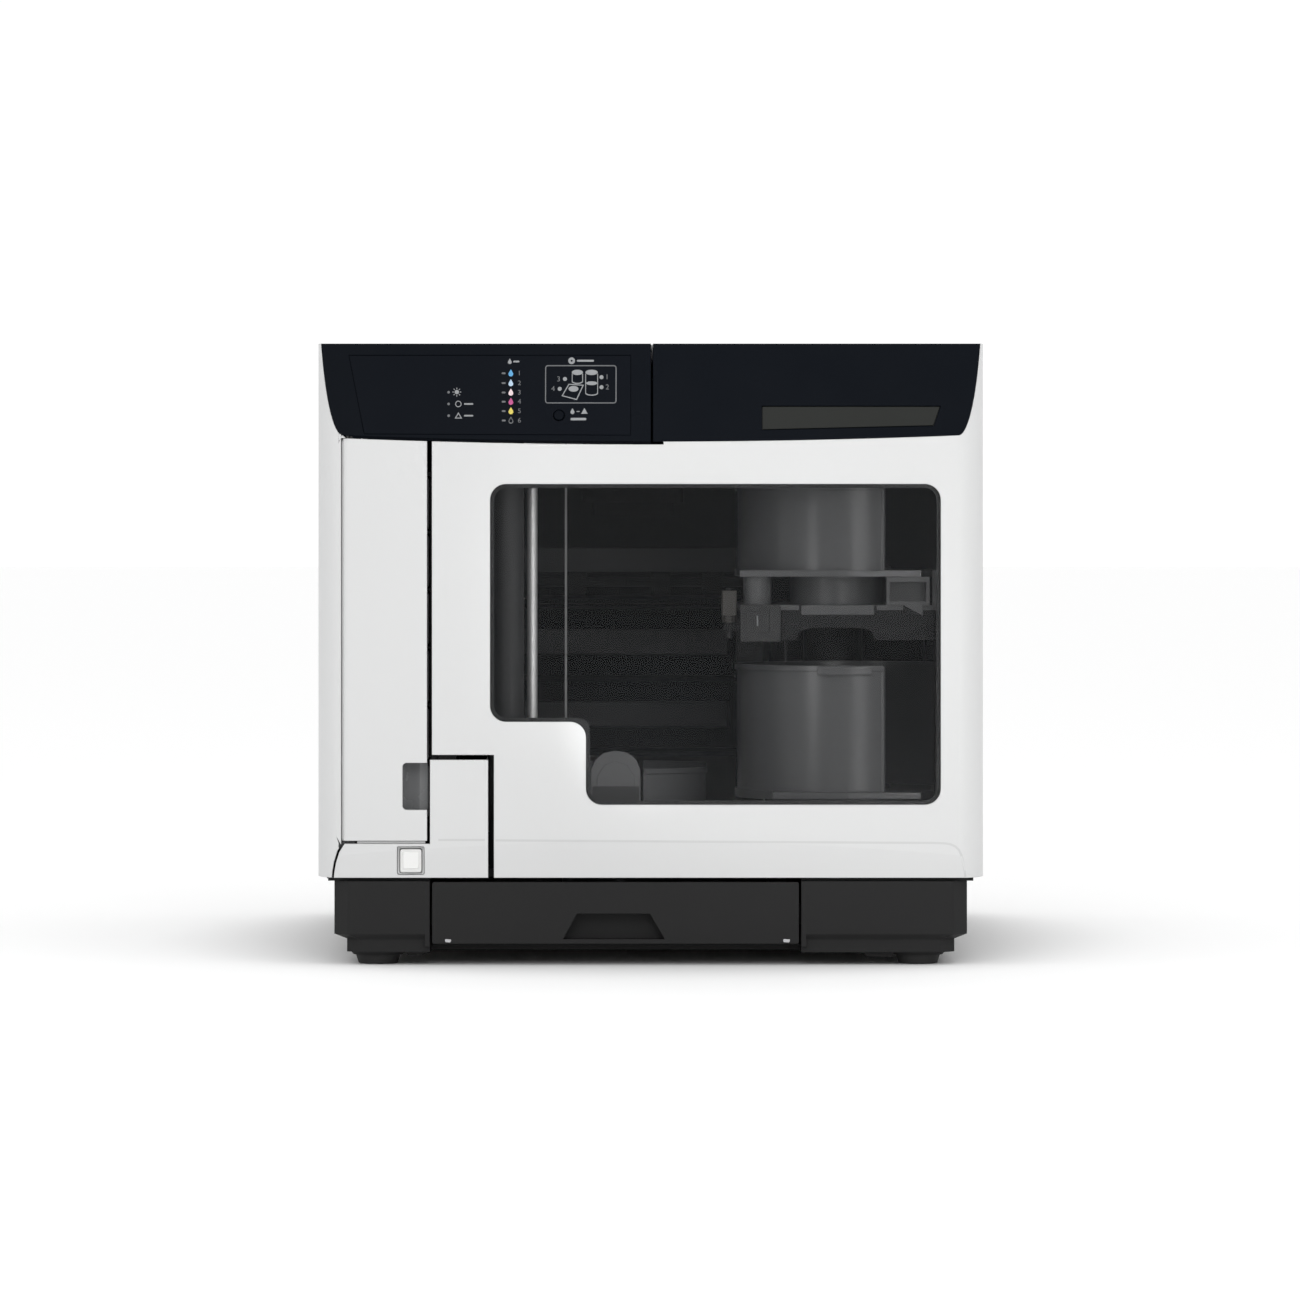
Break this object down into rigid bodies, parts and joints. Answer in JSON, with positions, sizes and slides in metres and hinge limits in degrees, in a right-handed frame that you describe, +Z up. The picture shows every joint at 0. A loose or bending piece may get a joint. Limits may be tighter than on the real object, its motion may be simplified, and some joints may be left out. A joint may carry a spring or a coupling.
{
  "type": "disc label printer",
  "caption": "Desktop disc publisher and label printer with a windowed door, disc stackers, a lifting and swinging arm, disc drives, an ink bay and an output drawer.",
  "frame": {"origin": "middle of the footprint, on the plane the feet stand on", "axes": "+Z up, the front with its door and drawer faces -Y, +X to the right as seen from the front"},
  "size_m": [0.377, 0.465, 0.3508],
  "materials": {
    "white_plastic": "satin",
    "white_button": "satin",
    "grey_plastic": "satin",
    "black_gloss": "gloss",
    "base_plastic": "fine texture",
    "dark_plastic": "matte",
    "stacker_plastic": "satin",
    "smoked_window": "smoked clear",
    "rubber": "matte",
    "chrome_steel": "polished",
    "screw_steel": "satin",
    "sheet_steel": "galvanised",
    "pulley_plastic": "satin",
    "tray_plastic": "satin",
    "cartridge_plastic": "gloss",
    "circuit_board": "solder mask"
  },
  "bodies": {
    "chassis": {"left_side_cover": "white_plastic", "right_side_cover": "white_plastic", "top_cover": "white_plastic", "rear_panel": "white_plastic", "corner_cover": "white_plastic", "stacker_label_plate": "grey_plastic", "control_panel_housing": "black_gloss", "control_panel_overlay": "black_gloss", "base_pan": "base_plastic", "bay_deck": "dark_plastic", "bay_divider": "dark_plastic", "mast_cover": "dark_plastic", "stacker_shelf": "dark_plastic", "ink_holder": "dark_plastic", "power_switch": "dark_plastic", "usb_port": "dark_plastic", "ac_inlet": "dark_plastic", "fan_frame": "dark_plastic", "stacker_1": "stacker_plastic", "stacker_2": "stacker_plastic", "stacker_3": "stacker_plastic", "rubber_feet": "rubber", "lift_belt": "rubber", "guide_shaft": "chrome_steel", "carriage_rod": "chrome_steel", "hinge_pins": "chrome_steel", "cover_screws": "screw_steel", "lift_motor": "screw_steel", "drive_cage": "sheet_steel", "printer_frame": "sheet_steel", "power_supply": "sheet_steel", "disc_drive_lower": "sheet_steel", "disc_drive_upper": "sheet_steel", "ink_cartridges": "cartridge_plastic", "main_board": "circuit_board", "panel_board": "circuit_board"},
    "ink_door": {"ink_cover": "white_plastic", "ink_cover_grip": "grey_plastic"},
    "disc_door": {"disc_cover": "white_plastic", "disc_cover_fascia": "black_gloss", "disc_cover_window": "smoked_window", "status_lens": "smoked_window"},
    "drawer": {"drawer_front": "base_plastic", "drawer_tray": "dark_plastic"},
    "power_button_cap": {"power_button": "white_button"},
    "panel_button_cap": {"panel_button": "dark_plastic"},
    "lift": {"lift_carriage": "dark_plastic", "swing_motor": "screw_steel"},
    "arm": {"arm_beam": "dark_plastic", "gripper_head": "pulley_plastic"},
    "arm_pinion": {"swing_pinion": "pulley_plastic"},
    "pulley_top": {"lift_pulley_top": "pulley_plastic"},
    "pulley_bottom": {"lift_pulley_bottom": "pulley_plastic"},
    "tray_lower": {"drive_tray_lower": "tray_plastic"},
    "tray_upper": {"drive_tray_upper": "tray_plastic"},
    "disc_tray": {"printer_tray": "tray_plastic"},
    "roller": {"feed_roller": "rubber"},
    "head_carriage": {"print_carriage": "dark_plastic"},
    "fan": {"fan_rotor": "dark_plastic"},
    "lock_lever": {"stacker_lock_lever": "dark_plastic"}
  },
  "joints": [
    {"name": "disc_cover_hinge", "type": "hinge", "parent": "chassis", "child": "disc_door", "pos_m": [0.183, -0.203, 0.2], "axis": [0, 0, 1], "range_deg": [0, 90]},
    {"name": "ink_cover_hinge", "type": "hinge", "parent": "chassis", "child": "ink_door", "pos_m": [-0.1709, -0.22845, 0.18], "axis": [0, 0, -1], "range_deg": [0, 90]},
    {"name": "drawer_slide", "type": "slide", "parent": "chassis", "child": "drawer", "axis": [0, -1, 0], "range_m": [0, 0.23]},
    {"name": "power_button_press", "type": "slide", "parent": "chassis", "child": "power_button_cap", "axis": [0, 1, 0], "range_m": [0, 0.0015], "stiffness_N_per_m": 500},
    {"name": "panel_button_press", "type": "slide", "parent": "chassis", "child": "panel_button_cap", "axis": [0, 0.9721, -0.2348], "range_m": [0, 0.001], "stiffness_N_per_m": 400},
    {"name": "arm_lift", "type": "slide", "parent": "chassis", "child": "lift", "axis": [0, 0, 1], "range_m": [-0.205, 0]},
    {"name": "arm_swing", "type": "hinge", "parent": "lift", "child": "arm", "pos_m": [-0.0675, -0.19, 0.33], "axis": [0, 0, -1], "range_deg": [0, 62.6]},
    {"name": "swing_pinion_turn", "type": "hinge", "parent": "lift", "child": "arm_pinion", "pos_m": [-0.084, -0.183, 0.33], "axis": [0, 0, -1], "range_deg": [-136, 2]},
    {"name": "top_pulley_turn", "type": "hinge", "parent": "chassis", "child": "pulley_top", "pos_m": [-0.064, -0.2065, 0.326], "axis": [0, 1, 0], "range_deg": [-5, 745]},
    {"name": "bottom_pulley_turn", "type": "hinge", "parent": "chassis", "child": "pulley_bottom", "pos_m": [-0.064, -0.2065, 0.071], "axis": [0, 1, 0], "range_deg": [-5, 745]},
    {"name": "lower_drive_tray_slide", "type": "slide", "parent": "chassis", "child": "tray_lower", "axis": [0, -1, 0], "range_m": [0, 0.14]},
    {"name": "upper_drive_tray_slide", "type": "slide", "parent": "chassis", "child": "tray_upper", "axis": [0, -1, 0], "range_m": [0, 0.14]},
    {"name": "printer_tray_slide", "type": "slide", "parent": "chassis", "child": "disc_tray", "axis": [0, -1, 0], "range_m": [0, 0.14]},
    {"name": "feed_roller_turn", "type": "hinge", "parent": "chassis", "child": "roller", "pos_m": [0, 0.096, 0.213], "axis": [1, 0, 0], "range_deg": [-5, 950]},
    {"name": "print_carriage_slide", "type": "slide", "parent": "chassis", "child": "head_carriage", "axis": [1, 0, 0], "range_m": [-0.05, 0.036]},
    {"name": "fan_spin", "type": "hinge", "parent": "chassis", "child": "fan", "pos_m": [0.115, 0.216, 0.13], "axis": [0, 1, 0], "continuous": true},
    {"name": "stacker_lock_lever_turn", "type": "hinge", "parent": "chassis", "child": "lock_lever", "pos_m": [0.0446, -0.205, 0.2], "axis": [0, 0, -1], "range_deg": [0, 35]}
  ],
  "couplings": [
    {"joint": "swing_pinion_turn", "follows": "arm_swing", "ratio": -2.1429},
    {"joint": "top_pulley_turn", "follows": "arm_lift", "rad_per_m": -62.893},
    {"joint": "bottom_pulley_turn", "follows": "arm_lift", "rad_per_m": -62.893},
    {"joint": "feed_roller_turn", "follows": "printer_tray_slide", "rad_per_m": 117.65}
  ]
}
